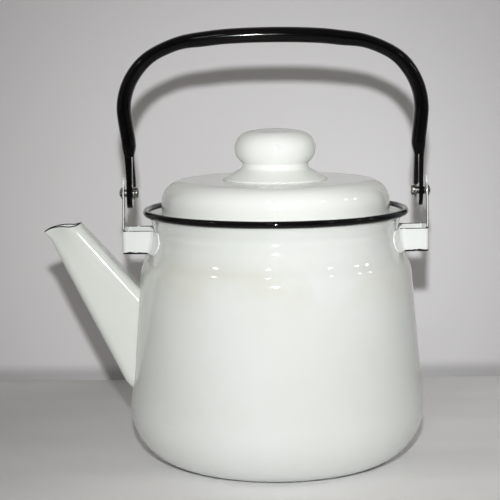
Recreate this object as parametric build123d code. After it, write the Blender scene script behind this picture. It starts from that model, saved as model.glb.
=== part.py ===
from build123d import *
from math import acos, asin, atan2, ceil, cos, degrees, hypot, radians, sin, sqrt, tan
import os

# An enamelled steel tea kettle. Millimetres, Z up, the origin at the centre of the base on the table.
# The spout points to -X and the bail swings about an X axis through its two rivets.

# Pot: one turned outline from the flat base to the rim.
belly_radius = 100.0          # widest radius, at the top of the base corner
base_corner = 39.0            # outer radius of the rounded base corner
waist_radius = 82.6           # narrowest outer radius of the neck
waist_height = 158.0
shoulder_overhang = 6.61      # the wall's line, carried up to the waist's height, stands this far outside it
neck_hollow = 33.0            # radius of the hollow curve from the shoulder to the waist
shoulder_round = 20.0         # radius of the shoulder's outward curve
flare_hollow = 20.0           # radius of the hollow curve from the waist to the mouth
flare_rise = 13.0             # from the waist up to the mouth's raw edge, inside the bead
pot_sheet = 1.2
seam_height = 50.0            # weld between the base pan and the body shell

# Rim bead round the raw edge of the mouth.
bead_round = 2.2              # radius of the bead's own section

# Spout, in its own direction: a tapering pipe from the wall to the mouth.
spout_root_drop = 67.4        # from the waist down to where the spout's centre line meets the wall
spout_rise = 55.3             # degrees above level
spout_length = 83.5           # from the wall to the middle of the mouth
spout_root_tall = 43.8        # height of the section at the wall
spout_root_wide = 34.6
spout_mouth_tall = 22.7
spout_mouth_wide = 19.0
spout_root_round = 11.0       # corner radius of the section at the wall
spout_mouth_round = 7.4
spout_sheet = 1.2
lip_dip = 2.4                 # how far the pouring lip lies below the middle of the mouth
crest_rise = 3.4              # how far the mouth's front crest stands above its middle
saddle_rise = 1.6             # how far the dip behind the crest stands above the middle
heel_rise = 5.4               # how far the mouth's rear point stands above the middle
strainer_hole = 6.0           # diameter
strainer_pitch = 8.6
strainer_border = 1.0         # plain metal between the outer holes and the spout's inside

# Brackets: a bent channel with two feet on the neck and an upright ear.
bracket_sheet = 1.5
bracket_reach = 19.6          # from the waist to the outer face of the ear
bracket_half_width = 15.5
bracket_bend = 2.4            # outer radius of the channel's two bends
channel_drop = 14.0           # from the waist down to the channel's lower edge
channel_height = 15.7
foot_spread = 14.5            # degrees of the neck's circle that each foot covers
pivot_rise = 24.0             # from the channel's upper edge to the bail's pivot
ear_round = 11.4              # radius of the ear's rounded top
ear_half_width = 14.6

# Rivets and washers at the two pivots.
rivet_shank = 5.0             # diameter
rivet_head = 9.3              # diameter
rivet_head_rise = 2.6
rivet_tail = 6.6              # diameter
rivet_tail_length = 2.6
washer_width = 8.6            # diameter
washer_sheet = 0.8
rivet_fit = 0.1               # radial clearance round the shank in the bail
pivot_gap = 0.3               # between the ear and the bail's end, and between the end and the washer

# Bail: an oval tube bent into a tall loop, its ends flattened.
tube_deep = 10.0              # section across the loop
tube_wide = 14.0              # section along Y
tube_wall = 1.2
flat_deep = 6.8               # thickness of the flattened end
flat_wide = 18.7
outer_strip = 4.1             # outer leaf of the flattened end, which carries the pivot
leaf_slot = 0.95              # gap between the two leaves
inner_leaf_gap = 0.6          # from the washer's edge to the end of the inner leaf
flat_top = 23.3               # from the pivot to the top of the flattened end
pinch_length = 7.0            # over which the tube flattens
leg_straight = 1.0            # upright stretch above the pinch
leg_bend = 30.0               # radius of the slight bend above it
leg_lean = 7.6                # degrees that the leg leans outwards
leg_slant = 16.5              # length of the leaning stretch
bail_shoulder = 41.8          # radius of the loop's sharper bend
bail_upper = 67.7             # radius of the loop's upper bend
bail_upper_turn = 27.0        # degrees
bail_crown_turn = 5.2         # degrees that half of the flat crown turns

# Lid, with its collar.
lid_sheet = 1.2
lid_setback = 4.3             # from the neck's narrowest inner radius to the lid's wall
lid_drop = 5.0                # the brim's underside lies this far below the mouth's edge
lid_rise = 26.3               # from the brim's underside to the lid's top
lid_corner = 15.0             # outer radius of the lid's upper corner
lid_foot = 2.0                # radius of the curve between the wall and the brim
lid_vent = 5.0                # radius of the hole under the knob
brim_gap = 0.3                # between the brim's edge and the flare
collar_gap = 0.8              # between the collar and the waist
collar_sheet = 1.0
collar_depth = 14.0

# Knob: a flared skirt and a hollow cap.
knob_sheet = 1.2
skirt_radius = 35.5
skirt_edge = 1.0              # height of the skirt's upright edge
skirt_rise = 10.7             # from the lid to the joint line
skirt_ledge = 0.98            # the skirt stands this far outside the cap's lower edge
skirt_sag = 1.2               # hollow of the skirt's slope
cap_radius = 27.6
cap_round = 12.5              # radius of the cap's rounded side
cap_seat = 0.4                # the joint line lies this far above the lowest point of the cap's inside curve
cap_crown = 0.6               # rise of the cap's top
spigot_rise = 3.0             # the skirt's neck reaches this far up into the cap
spigot_gap = 0.1

# Points that several pieces share.
inner_waist = waist_radius - pot_sheet
rim_height = waist_height + flare_rise
spout_root_height = waist_height - spout_root_drop
corner_centre = (belly_radius - base_corner, base_corner)
wall_run = waist_radius + shoulder_overhang - corner_centre[0]
wall_climb = waist_height - corner_centre[1]
lean = atan2(wall_climb, wall_run) - acos(base_corner / hypot(wall_run, wall_climb))
wall_lean = degrees(lean)
neck_centre = (waist_radius + neck_hollow, waist_height)
flare_centre = (waist_radius + flare_hollow, waist_height)
flare_turn = degrees(asin(flare_rise / (flare_hollow + pot_sheet / 2)))
wall_out = (cos(lean), sin(lean))
wall_up = (-sin(lean), cos(lean))

channel_bottom = waist_height - channel_drop
channel_top = channel_bottom + channel_height
pivot_height = channel_top + pivot_rise
ear_outer = waist_radius + bracket_reach
ear_inner = ear_outer - bracket_sheet
strip_outer = ear_inner - pivot_gap
strip_inner = strip_outer - outer_strip
leg_x = strip_outer - flat_deep / 2
washer_outer = strip_inner - pivot_gap
tail_outer = washer_outer - washer_sheet
inner_leaf_lift = washer_width / 2 + inner_leaf_gap
bail_shoulder_turn = 90 + leg_lean - bail_upper_turn - bail_crown_turn

brim_bottom = rim_height - lid_drop
lid_top = brim_bottom + lid_rise
lid_radius = inner_waist - lid_setback
joint_height = lid_top + skirt_rise
cap_lift = cap_round - knob_sheet - cap_seat
cap_middle = joint_height + cap_lift
cap_edge = cap_radius - cap_round + sqrt(cap_round**2 - cap_lift**2)
skirt_neck = cap_edge + skirt_ledge


def turned(*edges):
    """The solid of revolution about Z of a closed outline drawn as (radius, height)."""
    outline = make_face(Wire(edges))
    return revolve(Plane.XZ * outline, Axis.Z)


def shoulder_centre():
    """Centre of the shoulder's arc, which touches the wall from inside and the neck's hollow curve."""
    wall_x = corner_centre[0] + (base_corner - shoulder_round) * wall_out[0]
    wall_z = corner_centre[1] + (base_corner - shoulder_round) * wall_out[1]
    away_x = wall_x - neck_centre[0]
    away_z = wall_z - neck_centre[1]
    along = away_x * wall_up[0] + away_z * wall_up[1]
    reach = neck_hollow + shoulder_round
    climb = -along - sqrt(along**2 - away_x**2 - away_z**2 + reach**2)
    return (wall_x + climb * wall_up[0], wall_z + climb * wall_up[1])


def wall_radius(height):
    """Outer radius of the leaning wall at a height."""
    start_x = corner_centre[0] + base_corner * wall_out[0]
    start_z = corner_centre[1] + base_corner * wall_out[1]
    return start_x - (height - start_z) * tan(lean)


def flare_inner_radius(height):
    """Inner radius of the mouth's flare at a height."""
    return flare_centre[0] - sqrt((flare_hollow + pot_sheet)**2 - (height - waist_height)**2)


def pot_curve(inset):
    """The pot's outline from the base's centre to the mouth, moved inwards by inset."""
    centre = shoulder_centre()
    shoulder_turn = degrees(asin((neck_centre[1] - centre[1]) / (neck_hollow + shoulder_round)))
    floor_edge = Line((0, inset), (corner_centre[0], inset))
    corner = CenterArc(corner_centre, base_corner - inset, -90, 90 + wall_lean)
    shoulder = CenterArc(centre, shoulder_round - inset, wall_lean, shoulder_turn - wall_lean)
    wall = Line(corner @ 1, shoulder @ 0)
    neck = CenterArc(neck_centre, neck_hollow + inset, 180 + shoulder_turn, -shoulder_turn)
    flare = CenterArc(flare_centre, flare_hollow + inset, 180, -flare_turn)
    return [floor_edge, corner, wall, shoulder, neck, flare]


def pot_solid(inset):
    """Everything inside the pot's outline, moved inwards by inset."""
    curve = pot_curve(inset)
    mouth = curve[-1] @ 1
    lid_line = Line(mouth, (0, mouth.Y))
    axis_line = Line((0, mouth.Y), (0, inset))
    return turned(*curve, lid_line, axis_line)


def pot_shell():
    """The whole pot as one sheet."""
    outer = pot_curve(0)
    inner = pot_curve(pot_sheet)
    edge = Line(outer[-1] @ 1, inner[-1] @ 1)
    axis_line = Line((0, 0), (0, pot_sheet))
    return turned(*outer, edge, *inner, axis_line)


def rim_bead(pot):
    """The ring on the mouth's edge, with the slot that the edge sits in."""
    middle = flare_centre[0] - (flare_hollow + pot_sheet / 2) * cos(radians(flare_turn))
    ring = revolve(Plane.XZ * Pos(middle, rim_height) * Circle(bead_round), Axis.Z)
    return ring - pot


def spout_plane(distance):
    """Plane square to the spout at a distance along it from the wall; its Y runs along the kettle's Y."""
    rise = radians(spout_rise)
    along = Vector(-cos(rise), 0, sin(rise))
    root = Vector(-wall_radius(spout_root_height), 0, spout_root_height)
    return Plane(root + along * distance, x_dir=(sin(rise), 0, cos(rise)), z_dir=along)


def spout_section(distance, inset):
    """The spout's rounded section at a distance along it, moved inwards by inset."""
    share = distance / spout_length
    tall = spout_root_tall + (spout_mouth_tall - spout_root_tall) * share
    wide = spout_root_wide + (spout_mouth_wide - spout_root_wide) * share
    corner = spout_root_round + (spout_mouth_round - spout_root_round) * share
    shape = RectangleRounded(tall - 2 * inset, wide - 2 * inset, corner - inset)
    return spout_plane(distance) * shape


def spout_pipe(inset):
    """The spout's outside, or its bore, from inside the pot to beyond the mouth."""
    inner_end = -0.7 * spout_root_tall * tan(radians(spout_rise))
    outer_end = spout_length + 0.5 * spout_mouth_tall
    return loft([spout_section(inner_end, inset), spout_section(outer_end, inset)], ruled=True)


def above_mouth():
    """The space above the mouth's edge: a lip, a crest, a saddle and a rear point, seen from the side."""
    middle = spout_plane(spout_length).origin
    half = spout_mouth_tall / 2 / sin(radians(spout_rise))
    beyond = 2 * spout_mouth_tall
    lip = (middle.X - half, middle.Z - lip_dip)
    front = (middle.X - 0.72 * half, middle.Z + 0.4 * crest_rise)
    crest = (middle.X - 0.3 * half, middle.Z + crest_rise)
    saddle = (middle.X + 0.38 * half, middle.Z + saddle_rise)
    heel = (middle.X + half, middle.Z + heel_rise)
    edge = ThreePointArc(lip, front, crest)
    hollow = ThreePointArc(crest, saddle, heel)
    before = (middle.X - beyond, middle.Z - lip_dip)
    after = (middle.X + beyond, middle.Z + heel_rise)
    roof_left = (middle.X - beyond, middle.Z + beyond)
    roof_right = (middle.X + beyond, middle.Z + beyond)
    outline = make_face(Wire([
        Line(before, lip),
        edge,
        hollow,
        Line(heel, after),
        Line(after, roof_right),
        Line(roof_right, roof_left),
        Line(roof_left, before),
    ]))
    return extrude(Plane.XZ * outline, spout_root_wide, both=True)


def spout():
    """The pipe, hollow, open at both ends, cut to the pot's wall and to its mouth."""
    pipe = spout_pipe(0) - spout_pipe(spout_sheet)
    return pipe - pot_solid(0) - above_mouth()


def strainer_holes():
    """Staggered holes through the wall, inside the spout's root."""
    rise = radians(spout_rise)
    tall = spout_root_tall / 2 / cos(rise)
    wide = spout_root_wide / 2
    margin = spout_sheet + strainer_hole / 2 + strainer_border
    row_pitch = strainer_pitch * cos(radians(30))
    rows = int((tall - margin) / row_pitch)
    columns = ceil(wide / strainer_pitch)
    x = -wall_radius(spout_root_height)
    holes = []
    for row in range(-rows, rows + 1):
        for column in range(-columns, columns + 1):
            y = (column + (row % 2) / 2) * strainer_pitch
            z = row * row_pitch
            inside = (y / (wide - margin))**2 + (z / (tall - margin))**2
            if inside <= 1.05:
                place = Plane((x, y, spout_root_height + z), z_dir=(1, 0, 0))
                holes.append(place * Cylinder(strainer_hole / 2, 12 * pot_sheet))
    return holes


def bracket_foot():
    """The foot at -Y before the pot is cut from it: a tab that follows the neck, with a rounded end."""
    neck = waist_radius + bracket_sheet
    start = asin((bracket_half_width - bracket_sheet) / neck)
    end = asin(bracket_half_width / neck) + radians(foot_spread)
    half = channel_height / 2
    middle_height = channel_bottom + half
    round_turn = end - half / neck
    size = 2 * channel_height
    straight_turn = (start + round_turn) / 2
    chord = 2 * neck * sin((round_turn - start) / 2)
    slab = Box(size, chord, channel_height)
    slab = Rot(0, 0, -degrees(straight_turn)) * Pos(neck, 0, middle_height) * slab
    tip = Rot(0, 0, -degrees(round_turn)) * Pos(neck, 0, middle_height) * Rot(0, 90, 0) * Cylinder(half, size)
    return pot_solid(-bracket_sheet) & (slab + tip)


def bracket_channel():
    """The bent channel before the pot is cut from it, open above and below."""
    neck_side = waist_radius / 2
    length = ear_outer - neck_side
    middle = (ear_outer + neck_side) / 2
    outer = Pos(middle, 0) * Rectangle(length, 2 * bracket_half_width)
    outer = fillet(outer.vertices().sort_by(Axis.X)[-2:], bracket_bend)
    inner = Pos(middle - bracket_sheet, 0) * Rectangle(length, 2 * (bracket_half_width - bracket_sheet))
    inner = fillet(inner.vertices().sort_by(Axis.X)[-2:], bracket_bend - bracket_sheet)
    return Pos(0, 0, channel_bottom) * extrude(outer - inner, channel_height)


def bracket_ear():
    """The upright ear: straight sides that close in to a rounded top, drilled for the rivet."""
    top = Pos(0, pivot_height) * Circle(ear_round)
    lower = ear_half_width - bracket_bend
    foot_height = channel_top - channel_height / 2
    wide_top = channel_top + 0.3 * pivot_rise
    base = make_face(Polyline(
        (-lower, foot_height),
        (lower, foot_height),
        (lower, channel_top),
        (ear_half_width, channel_top + bracket_bend),
        (ear_half_width, wide_top),
        (ear_round * 0.97, pivot_height + ear_round * 0.24),
        (-ear_round * 0.97, pivot_height + ear_round * 0.24),
        (-ear_half_width, wide_top),
        (-ear_half_width, channel_top + bracket_bend),
        (-lower, channel_top),
        (-lower, foot_height),
    ))
    outline = top + base
    side = Plane((ear_inner, 0, 0), x_dir=(0, 1, 0), z_dir=(1, 0, 0))
    ear = extrude(side * outline, bracket_sheet)
    hole = Pos(ear_inner, 0, pivot_height) * Rot(0, 90, 0) * Cylinder(rivet_shank / 2, 4 * bracket_sheet)
    return ear - hole


def bracket():
    """The far-side bracket; the spout side's is the same piece turned half round."""
    foot = bracket_foot()
    return bracket_channel() + bracket_ear() + foot + mirror(foot, Plane.XZ) - pot_solid(0)


def on_pivot(profile):
    """A solid turned about the pivot's axis, from an outline drawn as (x, distance from the axis)."""
    lifted = Plane((0, 0, pivot_height), x_dir=(1, 0, 0), z_dir=(0, -1, 0)) * profile
    return revolve(lifted, Axis((0, 0, pivot_height), (1, 0, 0)))


def rivet():
    """The far side's rivet: domed head outside the ear, shank, and formed tail inside the bail."""
    shank = rivet_shank / 2
    head = rivet_head / 2
    tail = rivet_tail / 2
    tail_inner = tail_outer - rivet_tail_length
    crown = (ear_outer + rivet_head_rise, 0)
    tail_corner = 0.3 * tail
    dome_round = (head**2 + rivet_head_rise**2) / (2 * rivet_head_rise)
    profile = make_face(Wire([
        Line((tail_inner, 0), (tail_inner, tail - tail_corner)),
        Line((tail_inner, tail - tail_corner), (tail_inner + tail_corner, tail)),
        Line((tail_inner + tail_corner, tail), (tail_outer, tail)),
        Line((tail_outer, tail), (tail_outer, shank)),
        Line((tail_outer, shank), (ear_outer, shank)),
        Line((ear_outer, shank), (ear_outer, head)),
        RadiusArc((ear_outer, head), crown, dome_round),
        Line(crown, (tail_inner, 0)),
    ]))
    return on_pivot(profile)


def washer():
    """The plain washer between the rivet's tail and the bail's end."""
    inner = rivet_shank / 2
    band = washer_width / 2 - inner
    middle = (tail_outer + washer_outer) / 2
    return on_pivot(Pos(middle, inner + band / 2) * Rectangle(washer_sheet, band))


def bail_path():
    """The +X half of the loop's centre line as (x, z), from the top of the pinch to the middle of the top."""
    start = (leg_x, pivot_height + flat_top + pinch_length)
    upright = PolarLine(start, leg_straight, 90)
    bend = JernArc(upright @ 1, upright % 1, leg_bend, -leg_lean)
    slant = Line(bend @ 1, bend @ 1 + (bend % 1) * leg_slant)
    shoulder = JernArc(slant @ 1, slant % 1, bail_shoulder, bail_shoulder_turn)
    upper = JernArc(shoulder @ 1, shoulder % 1, bail_upper, bail_upper_turn)
    crown_radius = (upper @ 1).X / sin(radians(bail_crown_turn))
    crown = JernArc(upper @ 1, upper % 1, crown_radius, bail_crown_turn)
    return [upright, bend, slant, shoulder, upper, crown]


def bail_tube(inset):
    """Half of the oval tube, moved inwards by inset, swept along the loop's centre line."""
    half = Wire(bail_path())
    start = half @ 0
    section = Plane((start.X, 0, start.Y)) * Ellipse(tube_deep / 2 - inset, tube_wide / 2 - inset)
    return sweep(section, Plane.XZ * half)


def flat_shape(deep, wide):
    """A flattened tube's section, with round edges."""
    return Rot(0, 0, 90) * SlotOverall(wide, deep)


def bail_pinch():
    """The stretch where the tube flattens, hollow down to the slot between the leaves."""
    low = pivot_height + flat_top
    high = low + pinch_length
    oval = Plane((leg_x, 0, high)) * Ellipse(tube_deep / 2, tube_wide / 2)
    flat = Plane((leg_x, 0, low)) * flat_shape(flat_deep, flat_wide)
    bore = Plane((leg_x, 0, high)) * Ellipse(tube_deep / 2 - tube_wall, tube_wide / 2 - tube_wall)
    slit = Plane((strip_inner - leaf_slot / 2, 0, low)) * flat_shape(leaf_slot, flat_wide - 2 * tube_wall)
    return loft([flat, oval]) - loft([slit, bore])


def bail_end():
    """The flattened end: the outer leaf runs down round the pivot, the inner leaf stops above it."""
    low = pivot_height - flat_wide / 2
    high = pivot_height + flat_top
    bar = Plane((leg_x, 0, low)) * extrude(flat_shape(flat_deep, flat_wide), high - low)
    around = Rot(0, 90, 0) * Cylinder(flat_wide / 2, 4 * flat_deep)
    upper = Pos(0, 0, flat_top / 2) * Box(4 * flat_deep, flat_wide, flat_top)
    bar = bar & (Pos(leg_x, 0, pivot_height) * (around + upper))
    slot = Pos(strip_inner - leaf_slot / 2, 0, high - flat_wide / 2)
    bar = bar - slot * Box(leaf_slot, 2 * flat_wide, flat_wide)
    short_leaf = Pos(strip_inner - flat_deep, 0, pivot_height + inner_leaf_lift - flat_wide)
    bar = bar - short_leaf * Box(2 * flat_deep, 2 * flat_wide, 2 * flat_wide)
    hole = Rot(0, 90, 0) * Cylinder(rivet_shank / 2 + rivet_fit, 4 * flat_deep)
    return bar - Pos(leg_x, 0, pivot_height) * hole


def bail():
    """Both halves of the loop."""
    half = bail_tube(0) - bail_tube(tube_wall) + bail_pinch() + bail_end()
    return half + mirror(half, Plane.YZ)


def lid_curve(inset):
    """The lid's outline from the vent to the brim's edge, moved inwards by inset."""
    top = lid_top - inset
    wall = lid_radius - inset
    corner = lid_corner - inset
    foot = lid_foot + inset
    brim = brim_bottom + lid_sheet - inset
    edge = flare_inner_radius(brim_bottom) - brim_gap
    flat = Line((lid_vent, top), (wall - corner, top))
    bend = CenterArc((wall - corner, top - corner), corner, 90, -90)
    side = Line(bend @ 1, (wall, brim + foot))
    sweep_out = CenterArc((wall + foot, brim + foot), foot, 180, 90)
    rest = Line(sweep_out @ 1, (edge, brim))
    return [flat, bend, side, sweep_out, rest]


def lid_shell():
    """The pressed lid."""
    outer = lid_curve(0)
    inner = lid_curve(lid_sheet)
    vent = Line(outer[0] @ 0, inner[0] @ 0)
    edge = Line(outer[-1] @ 1, inner[-1] @ 1)
    return turned(*outer, edge, *inner, vent)


def lid_collar():
    """The ring under the brim that keeps the lid in the neck."""
    outer = inner_waist - collar_gap
    ring = Circle(outer) - Circle(outer - collar_sheet)
    return Pos(0, 0, brim_bottom - collar_depth) * extrude(ring, collar_depth)


def cap_curve(inset):
    """The cap's outline from its top to the joint line, moved inwards by inset."""
    middle = cap_radius - cap_round
    side = cap_round - inset
    top = cap_middle + side
    turn = degrees(asin(cap_lift / side))
    crown = SagittaArc((0, top + cap_crown), (middle, top), 0.25 * cap_crown)
    bulge = CenterArc((middle, cap_middle), side, 90, -90 - turn)
    return [crown, bulge]


def knob_cap():
    """The hollow bulb of the knob."""
    outer = cap_curve(0)
    inner = cap_curve(knob_sheet)
    seat = Line(outer[-1] @ 1, inner[-1] @ 1)
    axis_line = Line(outer[0] @ 0, inner[0] @ 0)
    return turned(*outer, seat, *inner, axis_line)


def knob_skirt():
    """The flared foot of the knob, with the spigot that the cap is pressed over."""
    mouth = (cap_curve(knob_sheet)[-1] @ 1).X
    spigot = mouth - spigot_gap
    edge_top = (skirt_radius, lid_top + skirt_edge)
    shoulder = (skirt_neck, joint_height)
    under_edge = (skirt_radius - 1.6 * knob_sheet, lid_top)
    under_neck = (skirt_neck - knob_sheet, joint_height - knob_sheet)
    slope = SagittaArc(edge_top, shoulder, -skirt_sag)
    under = SagittaArc(under_edge, under_neck, -skirt_sag)
    return turned(
        Line((skirt_radius, lid_top), edge_top),
        slope,
        Line(shoulder, (spigot, joint_height)),
        Line((spigot, joint_height), (spigot, joint_height + spigot_rise)),
        Line((spigot, joint_height + spigot_rise), (spigot - knob_sheet, joint_height + spigot_rise)),
        Line((spigot - knob_sheet, joint_height + spigot_rise), (spigot - knob_sheet, under_neck[1])),
        Line((spigot - knob_sheet, under_neck[1]), under_neck),
        under,
        Line(under_edge, (skirt_radius, lid_top)),
    )


def below(height):
    """The space below a height."""
    size = 4 * belly_radius
    return Pos(0, 0, height - size / 2) * Box(size, size, size)


def half_turn(piece):
    """The same piece on the spout side."""
    return Rot(0, 0, 180) * piece


def kettle():
    """Every piece by its name."""
    pot = pot_shell()
    shell = pot - below(seam_height) - strainer_holes()
    return {
        "body_shell": shell,
        "base_pan": pot & below(seam_height),
        "rim_bead": rim_bead(pot),
        "spout": spout(),
        "bracket_far_side": bracket(),
        "bracket_spout_side": half_turn(bracket()),
        "rivet_far_side": rivet(),
        "rivet_spout_side": half_turn(rivet()),
        "rivet_washer_far_side": washer(),
        "rivet_washer_spout_side": half_turn(washer()),
        "bail": bail(),
        "lid_shell": lid_shell(),
        "lid_collar": lid_collar(),
        "knob_skirt": knob_skirt(),
        "knob_cap": knob_cap(),
    }


os.makedirs("parts", exist_ok=True)
for name, piece in kettle().items():
    piece.label = name
    export_step(piece, f"parts/{name}.step")
    size = piece.bounding_box().size
    print(name, round(piece.volume, 1), round(size.X, 2), round(size.Y, 2), round(size.Z, 2))
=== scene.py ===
from math import acos, atan2, cos, degrees, hypot, pi, radians, sin, sqrt, tan

import bpy
import numpy as np
from mathutils import Matrix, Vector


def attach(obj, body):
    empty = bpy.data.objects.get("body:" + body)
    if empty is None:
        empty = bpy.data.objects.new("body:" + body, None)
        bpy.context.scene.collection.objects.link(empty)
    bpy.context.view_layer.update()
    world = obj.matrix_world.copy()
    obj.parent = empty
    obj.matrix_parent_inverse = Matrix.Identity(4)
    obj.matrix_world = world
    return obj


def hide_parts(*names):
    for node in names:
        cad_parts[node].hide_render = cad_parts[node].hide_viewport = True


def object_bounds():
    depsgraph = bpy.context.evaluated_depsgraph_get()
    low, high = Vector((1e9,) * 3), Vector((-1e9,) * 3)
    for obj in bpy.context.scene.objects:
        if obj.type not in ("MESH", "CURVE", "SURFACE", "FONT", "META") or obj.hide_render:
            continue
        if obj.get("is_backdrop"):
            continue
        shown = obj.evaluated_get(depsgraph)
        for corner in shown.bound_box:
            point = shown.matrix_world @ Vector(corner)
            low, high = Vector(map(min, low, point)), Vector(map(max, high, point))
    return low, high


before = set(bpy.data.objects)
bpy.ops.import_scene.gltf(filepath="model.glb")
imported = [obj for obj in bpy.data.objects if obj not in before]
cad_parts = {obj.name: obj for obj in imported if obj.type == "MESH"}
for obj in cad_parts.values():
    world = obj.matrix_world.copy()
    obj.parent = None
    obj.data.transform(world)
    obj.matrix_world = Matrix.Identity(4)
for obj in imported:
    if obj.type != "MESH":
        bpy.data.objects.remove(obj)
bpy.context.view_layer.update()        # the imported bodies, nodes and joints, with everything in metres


# Camera
# It stands about 1.15 m in front of the kettle, as high as the top of the bail and a little left of the lid's
# middle. It is tipped slightly down, and turned a fraction of a degree about its own line of sight.
camera_place = (-0.0176, -1.150, 0.2944)
camera_pitch = 0.130                  # radians below level
camera_roll = radians(0.62)
camera_data = bpy.data.cameras.new("camera")
camera_data.sensor_width = 36.0       # in millimetres, as the lens is
camera_data.lens = 122.94
camera = bpy.data.objects.new("camera", camera_data)
aim = Matrix.Rotation(pi / 2 - camera_pitch, 4, "X") @ Matrix.Rotation(-camera_roll, 4, "Z")
camera.matrix_world = Matrix.Translation(camera_place) @ aim
bpy.context.scene.collection.objects.link(camera)
bpy.context.scene.camera = camera
bpy.context.scene.view_settings.view_transform = "Standard"


# Table and wall
# A white cloth on the table, and a plain grey-white wall a hand's length behind the kettle.
# The wall is clear from behind, so that the kettle can be seen from every side.
wall_behind = 0.266
cloth_dim, cloth_pale = (0.91, 0.905, 0.91, 1), (1.0, 0.995, 1.0, 1)
wall_pale, wall_dim = (0.77, 0.765, 0.78, 1), (0.555, 0.55, 0.565, 1)
cloth_light_spot, wall_light_spot = (0.18, -0.13, 0), (-0.03, wall_behind, 0.11)      # where the painted pool of light on each is at its palest


def feed(tree, node, sockets):
    """Gives each of a node's sockets its value, or a link where the value is another node's output."""
    for key, value in sockets.items():
        if isinstance(value, bpy.types.NodeSocket):
            tree.links.new(value, node.inputs[key])
        else:
            node.inputs[key].default_value = value


def add_node(tree, kind, sockets, **settings):
    """Adds a shader node with its settings, and feeds its sockets."""
    made = tree.nodes.new(kind)
    for name, value in settings.items():
        setattr(made, name, value)
    feed(tree, made, sockets)
    return made


def object_place(tree):
    """The place of each point of a piece, in metres."""
    return add_node(tree, "ShaderNodeTexCoord", {}).outputs["Object"]


def axis_of(tree, place, axis):
    """One of the three numbers of a place."""
    return add_node(tree, "ShaderNodeSeparateXYZ", {0: place}).outputs[axis]


def distance(tree, place, point):
    """The distance from a place to a point."""
    return add_node(tree, "ShaderNodeVectorMath", {0: place, 1: point}, operation="DISTANCE").outputs["Value"]


def scaled(tree, colour, share):
    """A colour multiplied by a number."""
    return add_node(tree, "ShaderNodeVectorMath", {0: colour, "Scale": share}, operation="SCALE").outputs[0]


def noise(tree, place, scale, detail):
    """A cloudy value about a half, with scale clouds to the metre and finer ones by the detail."""
    sockets = {"Vector": place, "Scale": scale, "Detail": detail}
    return add_node(tree, "ShaderNodeTexNoise", sockets).outputs["Fac"]


def ramp(tree, value, start, end, low=0.0, high=1.0, kind="SMOOTHSTEP"):
    """Goes from low to high while the value goes from start to end, and stays level on both sides."""
    sockets = {"Value": value, "From Min": start, "From Max": end, "To Min": low, "To Max": high}
    return add_node(tree, "ShaderNodeMapRange", sockets, interpolation_type=kind).outputs["Result"]


def mixed(tree, share, first, second):
    """The first colour where the share is 0, the second where it is 1, and a blend between."""
    sockets = {"Factor": share, "A": first, "B": second}
    return add_node(tree, "ShaderNodeMix", sockets, data_type="RGBA").outputs["Result"]


def bumped(tree, height, depth):
    """The normal of a surface that rises and falls with a height, by depth metres for 1."""
    return add_node(tree, "ShaderNodeBump", {"Height": height, "Distance": depth}).outputs["Normal"]


def new_finish(name, **shader):
    """A material with only its output and its Principled shader, whose own sockets take the plain values."""
    made = bpy.data.materials.new(name)
    made.use_nodes = True
    tree = made.node_tree
    tree.nodes.clear()
    plain = {socket.replace("_", " "): value for socket, value in shader.items()}
    principled = add_node(tree, "ShaderNodeBsdfPrincipled", plain)
    add_node(tree, "ShaderNodeOutputMaterial", {"Surface": principled.outputs["BSDF"]})
    return made, tree, principled


def stage_sheet(name, corners, finish):
    """One flat four-cornered sheet of the set, which isn't part of the kettle."""
    mesh = bpy.data.meshes.new(name)
    mesh.from_pydata(corners, [], [(0, 1, 2, 3)])
    mesh.materials.append(finish)
    sheet = bpy.data.objects.new(name, mesh)
    bpy.context.scene.collection.objects.link(sheet)
    sheet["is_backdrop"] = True


# The cloth's folds are long from side to side. They are bumped, and their light and shade is also painted
# into its colour.
# It carries a painted pool of light that dims away from a spot at its right front.
cloth, tree, principled = new_finish("table_cloth", Roughness=0.9, Specular_IOR_Level=0.1)
place = object_place(tree)
drawn_out = add_node(tree, "ShaderNodeMapping", {"Vector": place, "Scale": (1.0, 3.0, 1.0)}).outputs["Vector"]
folds = noise(tree, drawn_out, 3.4, 1.5)
painted_shade = ramp(tree, distance(tree, place, cloth_light_spot), 0.20, 0.52, 1.0, 0.66)
feed(tree, principled, {
    "Base Color": scaled(tree, mixed(tree, folds, cloth_dim, cloth_pale), painted_shade),
    "Normal": bumped(tree, folds, 0.005)})
stage_sheet("table", [(-4, -3, 0), (4, -3, 0), (4, wall_behind, 0), (-4, wall_behind, 0)], cloth)

# The wall has a painted pool of light that dims away from its middle, and painted shade over its last 16 mm
# down to the cloth.
plaster, tree, principled = new_finish("wall_plain", Roughness=0.9, Specular_IOR_Level=0.1)
place = object_place(tree)
tone = mixed(tree, ramp(tree, distance(tree, place, wall_light_spot), 0.10, 0.36), wall_pale, wall_dim)
painted_shade = ramp(tree, axis_of(tree, place, "Z"), 0.004, 0.016, 0.66, 1.0)
feed(tree, principled, {"Base Color": scaled(tree, tone, painted_shade)})
clear = add_node(tree, "ShaderNodeBsdfTransparent", {}).outputs["BSDF"]
from_behind = add_node(tree, "ShaderNodeNewGeometry", {}).outputs["Backfacing"]
one_sided = add_node(tree, "ShaderNodeMixShader", {0: from_behind, 1: principled.outputs["BSDF"], 2: clear})
feed(tree, tree.nodes["Material Output"], {"Surface": one_sided.outputs["Shader"]})
stage_sheet("wall", [
    (-4, wall_behind, 0), (4, wall_behind, 0), (4, wall_behind, 4), (-4, wall_behind, 4)], plaster)


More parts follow.
